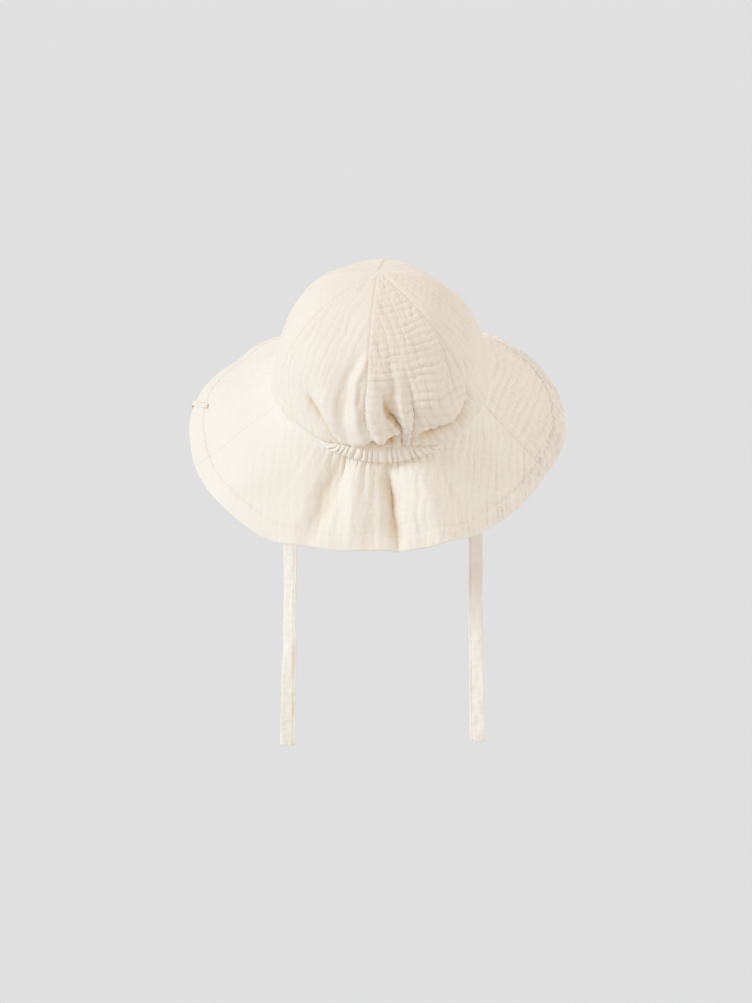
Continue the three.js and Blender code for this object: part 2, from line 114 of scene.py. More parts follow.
# Folds of the crown: name, kind, height and half width in mm, lean, and path. Each path point is
# azimuth, share of the way down and strength there. A minus height is a valley. A lean above 0 makes
# the right side of a path that runs down the steeper one. A crease has a sharp bottom, a fold a round one.
CROWN_FOLDS = [
    ("left slant valley", "fold", -2.8, 4.8, 0.0, (
        (-60, 0.79, 0), (-52, 0.80, 0.6), (-43, 0.812, 1), (-36, 0.84, 1), (-30, 0.89, 1), (-25, 0.95, 0.7),
    )),
    ("left slant crease", "crease", -2.5, 2.1, 0.2, (
        (-52, 0.79, 0), (-46, 0.80, 0.6), (-40, 0.82, 1), (-34, 0.848, 1), (-29, 0.89, 1), (-26, 0.93, 1),
        (-23, 0.97, 0.7),
    )),
    ("left puff", "fold", 3.0, 9.0, 0.0, ((-36, 0.62, 0.4), (-31, 0.74, 1), (-27, 0.83, 0.8))),
    ("left long valley", "fold", -3.6, 3.8, 0.2, (
        (-10, 0.43, 0), (-15.5, 0.55, 0.6), (-20, 0.65, 1), (-20.5, 0.74, 1), (-19.5, 0.82, 0.9),
        (-18, 0.95, 0.4),
    )),
    ("leaf ridge", "fold", 3.4, 3.0, 0.25, (
        (-8, 0.46, 0), (-11, 0.55, 0.6), (-14.5, 0.64, 1), (-14, 0.73, 1), (-12, 0.81, 1),
        (-9.5, 0.89, 0.9), (-8, 0.95, 0.6),
    )),
    ("centre seam crease", "crease", -2.4, 1.7, 0.0, (
        (-8.5, 0.58, 0), (-8.5, 0.66, 0.4), (-8.6, 0.74, 0.9), (-8.2, 0.81, 1), (-6.5, 0.865, 1),
        (-4.5, 0.90, 0.4),
    )),
    ("soft valley", "fold", -3.6, 3.8, -0.2, (
        (7, 0.48, 0), (7.2, 0.57, 0.5), (7, 0.66, 0.8), (5.5, 0.74, 1), (7, 0.82, 0.8),
    )),
    ("deep valley", "fold", -6.2, 2.1, -0.5, (
        (0.6, 0.66, 0), (1.0, 0.71, 0.5), (1.6, 0.76, 0.9), (3.4, 0.80, 1), (6.8, 0.835, 1),
        (9.8, 0.865, 1), (10.4, 0.91, 1), (10, 0.975, 0.8),
    )),
    ("groove under the lobe", "fold", -8.0, 2.4, 0.0, (
        (-12, 0.955, 0), (-8, 0.952, 0.9), (-2, 0.945, 1), (4, 0.93, 1), (7, 0.91, 0.6),
    )),
    ("narrow ridge", "fold", 2.6, 2.3, 0.0, (
        (11.5, 0.58, 0), (11.5, 0.68, 0.7), (11.8, 0.77, 1), (13, 0.86, 1), (12.6, 0.94, 0.9),
    )),
    ("right short valley", "crease", -3.8, 2.1, 0.0, (
        (18, 0.55, 0), (18.5, 0.63, 0.35), (18, 0.72, 0.6), (18.2, 0.80, 0.9), (17.2, 0.855, 1),
        (15.2, 0.895, 1), (14.8, 0.97, 0.8),
    )),
    ("right puff", "fold", 4.4, 12.5, 0.0, ((27, 0.60, 0.4), (31, 0.71, 1), (35, 0.79, 1), (37, 0.83, 0.9))),
    ("right slant groove", "fold", -7.6, 3.2, 0.2, (
        (17, 0.935, 0.4), (24, 0.905, 0.9), (31, 0.89, 1), (39, 0.885, 1.1), (45, 0.872, 1),
        (50, 0.84, 0.6), (54, 0.79, 0),
    )),
    ("right flare", "fold", 2.8, 4.5, 0.0, (
        (24, 0.965, 0.4), (33, 0.95, 1), (43, 0.935, 1), (53, 0.90, 0.4),
    )),
    ("right edge crease", "crease", -1.4, 2.4, 0.0, (
        (62, 0.60, 0), (60, 0.66, 0.6), (56, 0.73, 1), (52, 0.80, 0.8),
    )),
]
LOBE = ("hanging lobe", "fold", 5.2, 5.4, 0.3, (
    (-2.5, 0.54, 0), (-2.5, 0.65, 0.4), (-2.6, 0.75, 0.8), (-1.8, 0.84, 1), (0.6, 0.91, 1.05),
    (1.6, 0.96, 1),
))

# Flutes of the brim in the same form, with shares of the brim's width
BRIM_FLUTES = [
    ("left broad valley", "fold", -6.8, 8.5, -0.2, ((-22, 0.05, 0.8), (-23.5, 0.5, 1), (-22.5, 1, 0.45))),
    ("left valley edge", "crease", -2.6, 2.4, 0.5, (
        (-20.5, -0.05, 1), (-19, 0.1, 1), (-17.8, 0.22, 0.8), (-17.5, 0.38, 0.3), (-17.5, 0.55, 0),
    )),
    ("left ridge", "fold", 5.0, 7.5, 0.0, ((-13, 0.1, 0.6), (-10.5, 0.5, 1), (-8.5, 1, 0.4))),
    ("centre valley", "fold", -9.8, 6.2, 0.0, (
        (3.4, 0.06, 0.6), (4.3, 0.45, 1), (4.8, 0.7, 0.95), (4.8, 1, 0.4),
    )),
    ("centre crease", "crease", -1.2, 2.4, 0.0, (
        (2.6, 0.02, 1), (3.4, 0.2, 1), (4.4, 0.4, 0.5), (5, 0.55, 0),
    )),
    ("right ridge", "fold", 7.0, 10.0, 0.0, ((17.5, 0.08, 0.7), (18.5, 0.5, 1), (20, 1, 0.45))),
    ("right turn", "fold", -1.6, 5.0, -0.2, ((29, 0.15, 0.5), (28, 0.5, 1), (27, 0.9, 0.3))),
    ("right side wave", "fold", -1.6, 18.0, 0.0, ((62, 0.5, 0.5), (60, 0.8, 1), (58, 1, 0.4))),
    ("left side wave", "fold", 2.0, 20.0, 0.0, ((-58, 0.5, 0.5), (-60, 0.8, 1), (-62, 1, 0.4))),
]

# Shares of the brim's width over which its flutes rise from the seam
FLUTE_GROWTH = (-0.06, 0.22)

# Wander of the folds, as soft cloth has it. Columns: size, cells across the hat, cells down it, seed
CROWN_WANDER_ROUND = (0.7, 6.4, 9, 101)
CROWN_WANDER_DOWN = (0.006, 8, 11, 102)
BRIM_WANDER_ROUND = (1.0, 7.2, 3, 103)

# Warm painted shade in the hollows of folds. Columns: depth in mm where it begins, further depth to the
# most, the most.
# On the crown it lies a little lower than the bottom of a fold, by a share of the way down.
CROWN_PAINTED_SHADE = (2.6, 3.168, 0.72)
BRIM_PAINTED_SHADE = (3.0, 7.0, 0.45)
SHADE_DROP = 0.010
# Share of the painted shade that the cloth's inner face takes
INNER_PAINTED_SHADE = 0.3

# Cloth: wall, spacings of the mesh, and the pinched grid that ties the two layers together
WALL = 1.5
FINE_SPACING = 0.66
PLAIN_SPACING = 0.9
BRIM_SPACING = 1.0
COLUMN_PITCH = 6.4
ROW_PITCH = 5.0
PUFF_POWER = 0.85
PUFF_MIDDLE = 0.6
NOISE_CELLS = 256

# Seams: the dip along them, the allowance that shows through, and a narrow tongue of each piece that
# slips under its left neighbour, so that no seam gapes
SEAM_DIP = 0.5
SEAM_DIP_WIDTH = 1.1
ALLOWANCE_WIDTH = 6.0
ALLOWANCE_HEIGHT = 0.3
PUCKER_HEIGHT = 0.14
PUCKER_PITCH = 3.1
TONGUE = 0.8
TONGUE_SINK = 0.1

# Seam between crown and brim. Columns of the dips: depth, width. The left side is pulled smooth over
# its seams, by the shares of each dip that are filled there.
CROWN_EDGE_DIP = (0.8, 1.6)
BRIM_EDGE_DIP = (0.7, 1.8)
EDGE_DIP_FILL = 0.75
SEAM_DIP_FILL = 0.94
SEAM_FILL_HEIGHT = 2.4
SEAM_FILL_REACH = 6.0

# Columns: name of the node, seed of its crinkle, heights in mm of its columns and rows, mesh spacing
CROWN_CLOTHS = [
    ("crown_back_right", 11, 0.66, 0.80, FINE_SPACING),
    ("crown_side_right", 31, 0.62, 0.30, PLAIN_SPACING),
    ("crown_front_right", 51, 0.42, 0.35, PLAIN_SPACING),
    ("crown_front_left", 71, 0.42, 0.35, PLAIN_SPACING),
    ("crown_side_left", 91, 0.24, 0.14, PLAIN_SPACING),
    ("crown_back_left", 111, 0.34, 0.15, FINE_SPACING),
]
# The right-hand back and side panels take a darker copy of the muslin: painted shade on the side turned from
# the key light
SHADED_RIGHT_PANELS = (0, 1)
PATTERN_STEP = 40.0

# Columns: name of the node, first and last azimuth, seed, heights in mm of its columns and rows
BRIM_CLOTHS = [
    ("brim_back", -BRIM_SEAM_AZIMUTH, BRIM_SEAM_AZIMUTH, 131, 0.40, 0.17),
    ("brim_front", BRIM_SEAM_AZIMUTH, 360 - BRIM_SEAM_AZIMUTH, 151, 0.42, 0.26),
]
# The brim's flat pattern is part of a ring: its angle for one degree round the hat
BRIM_CONE = 0.82

# Hem: its wall, the rounding of its edge, the groove along its stitches, and the stitches
HEM_WALL = 2.6
HEM_STEP = 1.5
EDGE_ROUNDING = 1.4
HEM_GROOVE = 0.5
HEM_GROOVE_WIDTH = 1.7
STITCH_PITCH = 3.0
STITCH_LENGTH = 2.2
STITCH_RADIUS = 0.2
STITCH_SIDES = 6
# Columns: share of a stitch's length, girth there
STITCH_RINGS = [(-0.5, 0.35), (-0.38, 0.85), (0, 1), (0.38, 0.85), (0.5, 0.35)]

# Elastic casing: its grid, pleats, the share of its angle that they cover, and its sewn lines
CASING_COLUMNS = 660
CASING_ROWS = 27
CASING_OVERLAP = 1.3
CASING_COVER = 0.84
CASING_PLEATS = 19
CASING_BULGE = 2.6
PLEAT_DEPTH = 1.6
PLEAT_POWER = 0.8
CASING_LINES = (0.86, 0.14)
CASING_LINE_WIDTH = 0.04
CASING_LINE_DEPTH = 0.35

# Ties: their grid, the tube, and the middle line of the right one as outward drift and depth
TIE_STEPS = 300
TIE_SIDES = 40
TIE_THICKNESS = 1.9
TIE_SEAM_INSET = 1.7
TIE_END_FOLD = 8.0
TIE_END_ROUNDING = 1.5
TIE_ROUTE = [
    (0, 0), (0, 8), (0.4, 22), (1.2, 40), (2.0, 60), (2.6, 80), (3.0, 100), (3.3, 120),
    (3.6, 140), (4.0, 160), (4.5, 180), (5.1, 200), (5.8, 220), (6.4, 240), (7.0, 257), (7.6, 274),
]
# Turn of each flat tube about its own line, right 1 and left -1. Columns: share of the way down, turn
TIE_TURNS = {
    1: [(0, -18), (0.3, -24), (0.55, -28), (0.75, -22), (1, -16)],
    -1: [(0, 0), (0.35, -10), (0.55, -38), (0.68, -30), (0.82, -12), (1, -8)],
}
TURN_SMOOTHING = 41

# Blank tape folded over the brim's edge: lengths on the two faces, width, and slant across the hem
TAB_LENGTH = 15.0
TAB_UNDER = 9.0
TAB_WIDTH = 5.6
TAB_THICKNESS = 0.45
TAB_AZIMUTH = -96.25
TAB_SLANT = 5.5
TAB_COLUMNS = 21
TAB_LIFT = 0.35
TAB_OVERLAP = 0.2
TAB_SEWN_DEPTH = 0.3

# The photograph's frame, and where the camera stands in it
IMAGE_SIZE = (752, 1003)
ORIGIN_PIXEL = (382, 380)
PIXELS_PER_MM = 1.43
CAMERA_DISTANCE = 1600.0
CAMERA_ELEVATION = 22.0
SENSOR_WIDTH = 36.0
CLIP_END = 50.0

# Studio in metres, and its light. Columns: name, azimuth, elevation, strength, colour, angle of the disc
FLOOR_HALF_SIZE = 12.0
FLOOR_HEIGHT = -1.1
SUNS = [
    ("key", -70, 30, 1.42, (0.68, 0.85, 1.0), 16),
    ("side", 92, 14, 0.60, (0.78, 0.93, 1.0), 40),
    ("back", 180, 12, 0.16, (0.85, 0.97, 1.0), 60),
]
FILL_LIGHT = (0.748, 0.680, 0.630)
BACKDROP_TONE = 0.745

# Colours of the cloth and of its uneven patches, and the warm painted shade of its deepest folds
CROWN_COLOUR = (0.915, 0.845, 0.75)
CROWN_SHADE = (0.90, 0.82, 0.715)
# Darker copy of the crown's colours for the right-hand panels: painted shade
SHADED_RIGHT_COLOUR = (0.892, 0.816, 0.718)
SHADED_RIGHT_PATCH = (0.872, 0.788, 0.685)
# Lighter copy of the crown's colours for the brim, casing and thread: painted light, as of light through a
# single layer
BRIM_PAINTED_LIGHT_COLOUR = (0.935, 0.88, 0.792)
BRIM_PAINTED_LIGHT_PATCH = (0.92, 0.856, 0.765)
# Lighter copy of the muslin's colours for the ties: painted light on their front faces
TIE_PAINTED_LIGHT_COLOUR = (0.965, 0.905, 0.815)
TIE_PAINTED_LIGHT_PATCH = (0.95, 0.88, 0.785)
TAPE_COLOUR = (0.94, 0.88, 0.79)
PAINTED_SHADE_COLOUR = (0.765, 0.575, 0.345)

# Finish of the cloth, and depth of its weave. A wave texture makes a band every 2 pi / (20 x scale).
CLOTH_FINISH = {
    "Roughness": 0.95,
    "Sheen Weight": 0.25,
    "Sheen Roughness": 0.6,
    "Specular IOR Level": 0.15,
}
MUSLIN_WEAVE = 0.06
TIE_WEAVE = 0.05
TAPE_WEAVE = 0.08
THREAD_PITCH = 1.1
THREADS = {
    "Scale": 2 * math.pi / (20 * THREAD_PITCH * MM),
    "Distortion": 1.2,
    "Detail": 1.0,
    "Detail Scale": 0.6,
}
PATCHES = {"Scale": 45, "Detail": 3}
FUZZ = {"Scale": 900, "Detail": 4}


def smooth_step(low, high, value):
    share = np.clip((value - low) / (high - low), 0, 1)
    return share * share * (3 - 2 * share)


def wrap_degrees(angle):
    """The same angle from -180 up to, but not including, 180."""
    return angle - 360 * np.floor((np.asarray(angle, float) + 180) / 360)


def round_table(rows, column, azimuth):
    """A smooth value round the opening from a table with one row for each azimuth."""
    angle = wrap_degrees(azimuth)
    result = np.zeros_like(angle)
    for index, row in enumerate(rows):
        is_last = index == len(rows) - 1
        following = rows[(index + 1) % len(rows)]
        end = following[0] + 360 if is_last else following[0]
        inside = (angle >= row[0]) & (angle < end)
        share = smooth_step(row[0], end, angle)
        result = np.where(inside, row[column] * (1 - share) + following[column] * share, result)
    return result


def fold_reach(path, azimuth, share, around, along):
    """Signed distance in mm from points of the cloth to a fold's path, and the fold's strength there."""
    nearest = np.full(np.shape(azimuth), np.inf)
    strength = np.zeros(np.shape(azimuth))
    side = np.ones(np.shape(azimuth))
    for start, end in zip(path[:-1], path[1:]):
        run_x = (end[0] - start[0]) * around
        run_y = (end[1] - start[1]) * along
        point_x = wrap_degrees(azimuth - start[0]) * around
        point_y = (share - start[1]) * along
        place = np.clip((point_x * run_x + point_y * run_y) / (run_x**2 + run_y**2), 0, 1)
        off_x, off_y = point_x - place * run_x, point_y - place * run_y
        distance = np.hypot(off_x, off_y)
        closer = distance < nearest
        nearest = np.where(closer, distance, nearest)
        strength = np.where(closer, start[2] * (1 - place) + end[2] * place, strength)
        side = np.where(closer, np.sign(run_y * off_x - run_x * off_y), side)
    return nearest * side, strength


def fold_height(folds, azimuth, share, around, along):
    """Height of all the folds in mm."""
    height = np.zeros(np.shape(azimuth))
    for _, kind, peak, half_width, lean, path in folds:
        distance, strength = fold_reach(path, azimuth, share, around, along)
        spread = np.abs(distance) / (half_width * np.where(distance > 0, 1 - lean, 1 + lean))
        if kind == "fold":
            profile = np.exp(-spread**2)
        else:
            profile = np.exp(-1.3 * (np.sqrt(spread**2 + 0.04) - 0.2))
        height += peak * strength * profile
    return height


def bell(distance, width):
    """1 on a line, easing to 0 away from it."""
    return np.exp(-((distance / width) ** 2))


def nape_share(azimuth, reach):
    """1 at the middle of the nape, easing to 0 at so many degrees to both sides."""
    share = np.clip(np.abs(wrap_degrees(azimuth)) / reach, 0, 1)
    return np.cos(share * math.pi / 2) ** 2


def around_axis(azimuth, radius, height):
    """Points at the given azimuths, distances from the middle and heights."""
    angle = np.asarray(azimuth) * DEG
    return np.stack([radius * np.sin(angle), -radius * np.cos(angle), height + 0 * radius], -1)


def opening_radius(azimuth):
    """From the middle of the head opening to the crown's cloth, in mm."""
    angle = np.asarray(azimuth) * DEG
    half_width, half_depth = OPENING_WIDTH / 2, OPENING_DEPTH / 2
    ellipse = half_width * half_depth / np.hypot(half_depth * np.sin(angle), half_width * np.cos(angle))
    return ellipse - NAPE_PULL * nape_share(azimuth, 2 * CASING_HALF_ANGLE)


def casing_eye(azimuth):
    """Height of the casing as a share of its middle: an eye that closes at both ends."""
    share = np.clip(np.abs(wrap_degrees(azimuth)) / CASING_HALF_ANGLE, 0, 1)
    return np.cos(share * math.pi / 2)


def seam_height(azimuth):
    return CROWN_HEIGHT * round_table(SEAM_LIFTS, LIFT, azimuth)


def crown_edge_height(azimuth):
    return seam_height(azimuth) + CASING_ABOVE * CASING_HEIGHT * casing_eye(azimuth)


def brim_edge_height(azimuth):
    return seam_height(azimuth) - (1 - CASING_ABOVE) * CASING_HEIGHT * casing_eye(azimuth)


def crown_twist(share):
    return CROWN_TWIST * (1 - smooth_step(*TWIST_END, share))


def shifted_top(azimuth, share):
    """Slides the crown's seams along the cloth so that they meet a little in front of the apex."""
    right, front = share * np.sin(azimuth * DEG), -share * np.cos(azimuth * DEG)
    front = front + TOP_SHIFT / CROWN_ARC * np.clip(1 - share / SHIFT_REACH, 0, 1) ** 2
    moved = np.arctan2(right, -front) / DEG
    return azimuth + wrap_degrees(moved - azimuth), np.hypot(right, front)


def painted_shade_share(depth, painted_shade):
    """Share of the warm painted shade at some depth in mm below the cloth around."""
    start, further, most = painted_shade
    return most * np.clip((depth - start) / further, 0, 1)


def crown_bulge(azimuth, share, around):
    """Height in mm of the crown's puff, folds and lobe, and the share of painted shade in its hollows."""
    east, north = np.sin(azimuth * DEG), np.cos(azimuth * DEG)
    size, cells, cells_down, seed = CROWN_WANDER_ROUND
    stray_azimuth = azimuth + size * noise(cells * east, cells * north + cells_down * share, seed)
    size, cells, cells_down, seed = CROWN_WANDER_DOWN
    stray_share = share + size * noise(cells * east + cells_down * share, cells * north, seed)
    folds = fold_height(CROWN_FOLDS, stray_azimuth, stray_share, around, CROWN_ARC)
    shade = fold_height(CROWN_FOLDS, stray_azimuth, stray_share - SHADE_DROP, around, CROWN_ARC)
    lobe = fold_height([LOBE], azimuth, share, around, CROWN_ARC)
    lobe *= 1 - smooth_step(*LOBE_END, share)
    puff = NAPE_PUFF * nape_share(azimuth, NAPE_PUFF_AZIMUTH) * smooth_step(*PUFF_GROWTH, share)
    pinch = 1 - smooth_step(*PINCH, share)
    return pinch * (puff + folds) + lobe, painted_shade_share(-shade, CROWN_PAINTED_SHADE)


def crown_surface(azimuth, share):
    """Middle of the crown's cloth, share 0 at the apex and 1 at the lower edge, and its painted shade."""
    seam_angle = (azimuth - crown_twist(share)) * CROWN_PANELS * DEG
    ridge = 1 - 2 * np.sqrt(np.sin(seam_angle / 2) ** 2 + SEAM_ROUNDING)
    corner = SEAM_CORNER * ridge * np.sin(math.pi * share)
    azimuth, share = shifted_top(azimuth, share)
    angle = share * math.pi / 2
    ring = np.sin(angle) ** (2 / CROWN_POWER)
    rise = np.clip(np.cos(angle), 0, 1) ** (2 / CROWN_POWER)
    base = opening_radius(azimuth)
    edge = crown_edge_height(azimuth)
    radius = base * ring * (1 + corner)
    points = around_axis(azimuth, radius, edge + (CROWN_HEIGHT - edge) * rise)
    points[..., 0] += CROWN_LEAN * rise
    points[..., 2] -= TOP_FLATTENING * bell(share, FLATTENING_REACH)
    normals = around_axis(azimuth, ring / base, rise / CROWN_HEIGHT)
    normals /= np.linalg.norm(normals, axis=-1, keepdims=True)
    bulge, painted_fold_shade = crown_bulge(azimuth, share, radius * DEG)
    points += normals * bulge[..., None]
    sag = smooth_step(*SAG_GROWTH, share) * (1 - smooth_step(*SAG_END, share))
    points[..., 2] -= SAG * sag * np.clip(bulge, 0, None)
    return points, painted_fold_shade


def brim_surface(azimuth, share):
    """Middle of the brim's cloth, share 0 at the crown's seam and 1 at its edge, and its painted shade."""
    slope = round_table(BRIM_SHAPE, SLOPE, azimuth) * DEG
    start = opening_radius(azimuth)
    along = share * BRIM_WIDTH * round_table(BRIM_SHAPE, WIDTH, azimuth)
    bend = math.pi / 2 - slope
    bend_radius = BRIM_FILLET / bend
    turned = np.minimum(along / bend_radius, bend)
    straight = along - turned * bend_radius
    out = bend_radius * (1 - np.cos(turned)) + straight * np.cos(slope)
    down = bend_radius * np.sin(turned) + straight * np.sin(slope)
    around = (start + out) * DEG
    east, north = np.sin(azimuth * DEG), np.cos(azimuth * DEG)
    size, cells, cells_down, seed = BRIM_WANDER_ROUND
    stray_azimuth = azimuth + size * noise(cells * east, cells * north + cells_down * share, seed)
    folds = fold_height(BRIM_FLUTES, stray_azimuth, share, around, BRIM_WIDTH)
    flutes = smooth_step(*FLUTE_GROWTH, share) * folds
    radius = start + out + flutes * np.sin(slope)
    height = brim_edge_height(azimuth) - down + flutes * np.cos(slope)
    return around_axis(azimuth, radius, height), painted_shade_share(-folds, BRIM_PAINTED_SHADE)


def noise(x, y, seed):
    """Smooth noise from about -1 to 1 that changes over one unit of x or y."""
    turns = np.random.default_rng(seed).uniform(0, 2 * math.pi, (NOISE_CELLS, NOISE_CELLS))
    x, y = np.broadcast_arrays(np.asarray(x, float), np.asarray(y, float))
    cell_x, cell_y = np.floor(x).astype(int), np.floor(y).astype(int)
    part_x, part_y = x - cell_x, y - cell_y

    def corner(step_x, step_y):
        angle = turns[(cell_x + step_x) % NOISE_CELLS, (cell_y + step_y) % NOISE_CELLS]
        return np.cos(angle) * (part_x - step_x) + np.sin(angle) * (part_y - step_y)

    ease_x = part_x**3 * (part_x * (part_x * 6 - 15) + 10)
    ease_y = part_y**3 * (part_y * (part_y * 6 - 15) + 10)
    low = corner(0, 0) * (1 - ease_x) + corner(1, 0) * ease_x
    high = corner(0, 1) * (1 - ease_x) + corner(1, 1) * ease_x
    return 1.5 * (low * (1 - ease_y) + high * ease_y)


def crinkle(across, grain, seed, columns, rows):
    """Crinkles of the pinched grid in mm, and how deep each point lies in a pinch, from 0 to 1.

    The grain runs along the second length. columns and rows are the heights of the two sets of pinches.
    """
    bent_across = across + 2.0 * noise(across / 17, grain / 16, seed)
    bent_across = bent_across + 0.7 * noise(across / 6, grain / 8, seed + 1)
    bent_grain = grain + 1.5 * noise(across / 15, grain / 19, seed + 2)
    bent_grain = bent_grain + 0.5 * noise(across / 5, grain / 6, seed + 3)
    column_puff = np.abs(np.sin(math.pi * bent_across / COLUMN_PITCH)) ** PUFF_POWER
    row_puff = np.abs(np.sin(math.pi * bent_grain / ROW_PITCH)) ** PUFF_POWER
    column_patch = 0.7 + 0.95 * noise(across / 11, grain / 21, seed + 4)
    row_patch = 0.7 + 0.95 * noise(across / 17, grain / 9, seed + 5)
    streak = 1 - 2.2 * np.abs(noise(bent_across / 3.4, grain / 21, seed + 6))
    fine = noise(bent_across / 2.1, bent_grain / 5, seed + 7)
    fine = fine + 0.7 * noise(across / 2.6, grain / 2.2, seed + 8)
    column_part = columns * np.clip(column_patch, 0.3, 1.5)
    row_part = rows * np.clip(row_patch, 0.3, 1.5)
    height = column_part * (column_puff - PUFF_MIDDLE) + row_part * (row_puff - PUFF_MIDDLE)
    height += 0.22 * columns * streak + 0.17 * (columns + rows) * fine
    pinch = column_part * (1 - column_puff) ** 2 + row_part * (1 - row_puff) ** 2
    return height, np.clip(pinch / 0.8, 0, 1)


def wobble(points, size):
    """Slow unevenness of soft cloth in mm, the same on both sides of a seam."""
    x, y, z = points[..., 0], points[..., 1], points[..., 2]
    slow = noise(x / 41 + 3, y / 37 + z / 60, 201)
    return size * (slow + 0.6 * noise(y / 23 + z / 31, x / 26 - z / 29, 202))


def grid_normals(points):
    """Unit normals on the outer side of a grid whose rows run down and whose columns run to +azimuth."""
    down = np.gradient(points, axis=0)
    across = np.gradient(points, axis=1)
    normals = np.cross(down, across)
    return normals / np.maximum(np.linalg.norm(normals, axis=-1, keepdims=True), 1e-9)


def worn(points):
    """From the hat's own frame, in mm, to the frame of the worn hat, in metres."""
    turn = HAT_TILT * DEG
    y = points[..., 1] * math.cos(turn) - points[..., 2] * math.sin(turn)
    z = points[..., 1] * math.sin(turn) + points[..., 2] * math.cos(turn)
    return np.stack([points[..., 0], y, z], -1) * MM


def sheet_faces(rows, columns):
    """Faces of a closed body between two grids, and how many of them are its broad sides."""
    index = np.arange(rows * columns).reshape(rows, columns)
    under = index + rows * columns

    def quads(*corners):
        return np.stack([corner.ravel() for corner in corners], 1)

    outer = quads(index[:-1, :-1], index[1:, :-1], index[1:, 1:], index[:-1, 1:])
    inner = quads(under[:-1, :-1], under[:-1, 1:], under[1:, 1:], under[1:, :-1])
    rims = [
        quads(index[:-1, 0], under[:-1, 0], under[1:, 0], index[1:, 0]),
        quads(index[:-1, -1], index[1:, -1], under[1:, -1], under[:-1, -1]),
        quads(index[0, :-1], index[0, 1:], under[0, 1:], under[0, :-1]),
        quads(index[-1, :-1], under[-1, :-1], under[-1, 1:], index[-1, 1:]),
    ]
    return np.concatenate([outer, inner, *rims]), len(outer) + len(inner)


def add_object(name, data):
    """Puts a mesh, a lamp or the camera into the scene."""
    thing = bpy.data.objects.new(name, data)
    bpy.context.scene.collection.objects.link(thing)
    return thing


def make_object(name, vertices, faces, material, uv=None, smooth_faces=None):
    """A mesh object in the frame's metres, with a flat-pattern UV map where one is given."""
    mesh = bpy.data.meshes.new(name)
    mesh.from_pydata(vertices.reshape(-1, 3).tolist(), [], faces)
    smooth = np.ones(len(faces), bool)
    if smooth_faces is not None:
        smooth[smooth_faces:] = False
    mesh.polygons.foreach_set("use_smooth", smooth)
    if uv is not None:
        corners = np.zeros(len(mesh.loops), np.int32)
        mesh.loops.foreach_get("vertex_index", corners)
        layer = mesh.uv_layers.new(name="pattern")
        layer.data.foreach_set("uv", uv.reshape(-1, 2)[corners].ravel().astype(np.float32))
    mesh.materials.append(material)
    mesh.update()
    return add_object(name, mesh)

def add_painted_shade(thing, painted_shade):
    """Marks how deep each point lies in a fold, for the warm painted shade there."""
    layer = thing.data.attributes.new("painted_shade", "FLOAT", "POINT")
    layer.data.foreach_set("value", painted_shade.astype(np.float32))


def make_sheet(name, outer, inner, pattern, painted_shade, material, inner_painted_shade=INNER_PAINTED_SHADE):
    """A closed body between two grids of points in mm, with one flat pattern for both faces."""
    faces, broad = sheet_faces(*outer.shape[:2])
    vertices = worn(np.concatenate([outer.reshape(-1, 3), inner.reshape(-1, 3)]))
    uv = np.concatenate([pattern.reshape(-1, 2)] * 2) * MM
    thing = make_object(name, vertices, faces.tolist(), material, uv, broad)
    add_painted_shade(thing, np.concatenate([painted_shade.ravel(), inner_painted_shade * painted_shade.ravel()]))
    return thing


def between_points(grid, row, column):
    """Values of a grid between its points."""
    low_row = np.clip(np.floor(row).astype(int), 0, grid.shape[0] - 2)
    low_column = np.clip(np.floor(column).astype(int), 0, grid.shape[1] - 2)
    part_row, part_column = (row - low_row)[..., None], (column - low_column)[..., None]
    above = grid[low_row, low_column] * (1 - part_column) + grid[low_row, low_column + 1] * part_column
    below = grid[low_row + 1, low_column] * (1 - part_column)
    below = below + grid[low_row + 1, low_column + 1] * part_column
    return above * (1 - part_row) + below * part_row


def dress(thing, slot, *nodes):
    """A finished piece rides on the hat and stands for its solids, which it hides; its slot is not used."""
    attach(thing, "root")
    if nodes:
        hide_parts(*nodes)
    return thing


class Cloth:
    """A grid of cloth: its two faces, its flat pattern and its painted shade, with rows from top to edge."""

    def __init__(self, middle, bumps, wall, pattern, painted_shade):
        middle = middle + grid_normals(middle) * bumps[..., None]
        self.normals = grid_normals(middle)
        half = 0.5 * np.broadcast_to(wall, bumps.shape)[..., None]
        self.outer = middle + self.normals * half
        self.inner = middle - self.normals * half
        self.pattern = pattern
        self.painted_shade = np.clip(painted_shade, 0, 1)

    def object(self, name, material):
        return make_sheet(name, self.outer, self.inner, self.pattern, self.painted_shade, material)


def gather_ripples(azimuth, distance, reach):
    """Small pleats that run on from the casing into the cloth above or below it, in mm."""
    place = wrap_degrees(azimuth) / (CASING_HALF_ANGLE * CASING_COVER)
    phase = pleat_phase(place, 0 * place) + 0.5 * noise(place * 9, distance / 16, 301)
    length = reach * (1 + 0.7 * noise(azimuth / 2.7, 0 * azimuth + 5, 302))
    inside = 1 - smooth_step(0.95, 1.15, np.abs(place))
    crest = np.abs(np.cos(phase)) ** PLEAT_POWER * 2 - 1.2
    return inside * crest * np.exp(-distance / length)


def pleat_phase(place, high):
    """Phase of the casing's pleats: uneven widths, spreading out a little towards the brim."""
    fan = place * (1 + 0.22 * (high - 0.5)) + 0.05 * noise(place * 4.5, 0 * place, 307)
    fan = fan + 0.028 * noise(place * 9, high * 1.3, 305)
    return fan * CASING_PLEATS * math.pi / 2


def smooth_side(azimuth):
    """1 on the left side, where the cloth is pulled smooth over its seams, and 0 elsewhere."""
    return 1 - smooth_step(-0.86, -0.56, np.sin(azimuth * DEG))


def seam_fill(azimuth, distance):
    """Cloth of the left side, pulled straight across the seam between crown and brim, in mm."""
    return SEAM_FILL_HEIGHT * smooth_side(azimuth) * bell(distance, SEAM_FILL_REACH)


